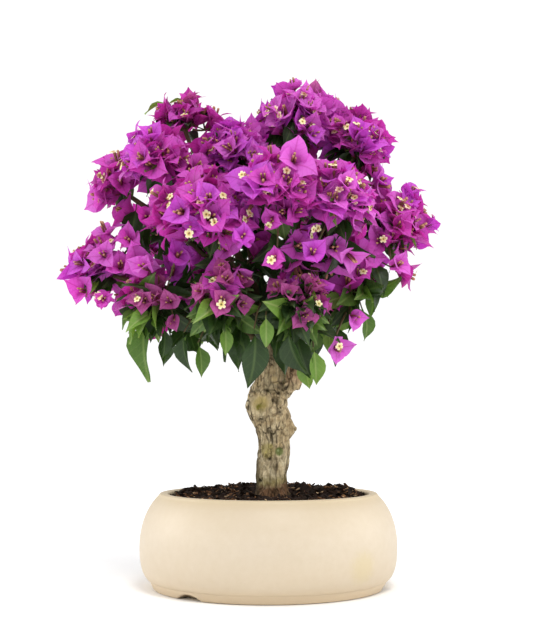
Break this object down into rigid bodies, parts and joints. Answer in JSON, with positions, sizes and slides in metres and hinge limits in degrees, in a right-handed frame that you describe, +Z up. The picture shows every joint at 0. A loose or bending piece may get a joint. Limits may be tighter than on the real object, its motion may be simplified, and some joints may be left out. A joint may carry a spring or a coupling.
{
  "type": "bougainvillea bonsai in a round bowl",
  "caption": "Small bougainvillea tree with a knotted, forked trunk and a broad crown of papery bracts, growing in a round ceramic bowl of soil.",
  "frame": {"origin": "middle of the bowl's flat underside, on the surface that the bowl stands on", "axes": "+Z up, -Y towards the front of the plant, +X to the right seen from the front"},
  "size_m": [0.3736, 0.2864, 0.5051],
  "materials": {
    "glaze": "satin cream glaze",
    "soil": "coarse dark bark compost",
    "bark": "rough, furrowed bark",
    "bracts": "papery magenta bracts among green leaves",
    "leaves": "glossy green leaves"
  },
  "bodies": {
    "root": {"bowl": "glaze", "soil": "soil", "trunk": "bark", "left_limb": "bark", "right_limb": "bark", "crown_top_bough": "bark", "right_shoulder_bough": "bark", "top_left_spray_bough": "bark", "notch_bough": "bark", "upper_left_bough": "bark", "left_arm_bough": "bark", "left_low_bough": "bark", "left_skirt_bough": "bark", "right_side_bough": "bark", "right_low_bough": "bark", "centre_left_bough": "bark", "centre_bough": "bark", "centre_right_bough": "bark", "front_low_bough": "bark", "front_low_right_bough": "bark", "back_top_bough": "bark", "back_left_bough": "bark", "back_right_bough": "bark", "back_low_left_bough": "bark", "back_low_right_bough": "bark", "crown_top": "bracts", "right_shoulder": "bracts", "top_left_spray": "bracts", "notch": "bracts", "upper_left": "bracts", "left_arm": "bracts", "left_low": "bracts", "left_skirt": "leaves", "right_side": "bracts", "right_low": "leaves", "centre_left": "bracts", "centre": "bracts", "centre_right": "bracts", "front_low": "leaves", "front_low_right": "leaves", "back_top": "bracts", "back_left": "bracts", "back_right": "bracts", "back_low_left": "leaves", "back_low_right": "leaves"}
  },
  "joints": []
}
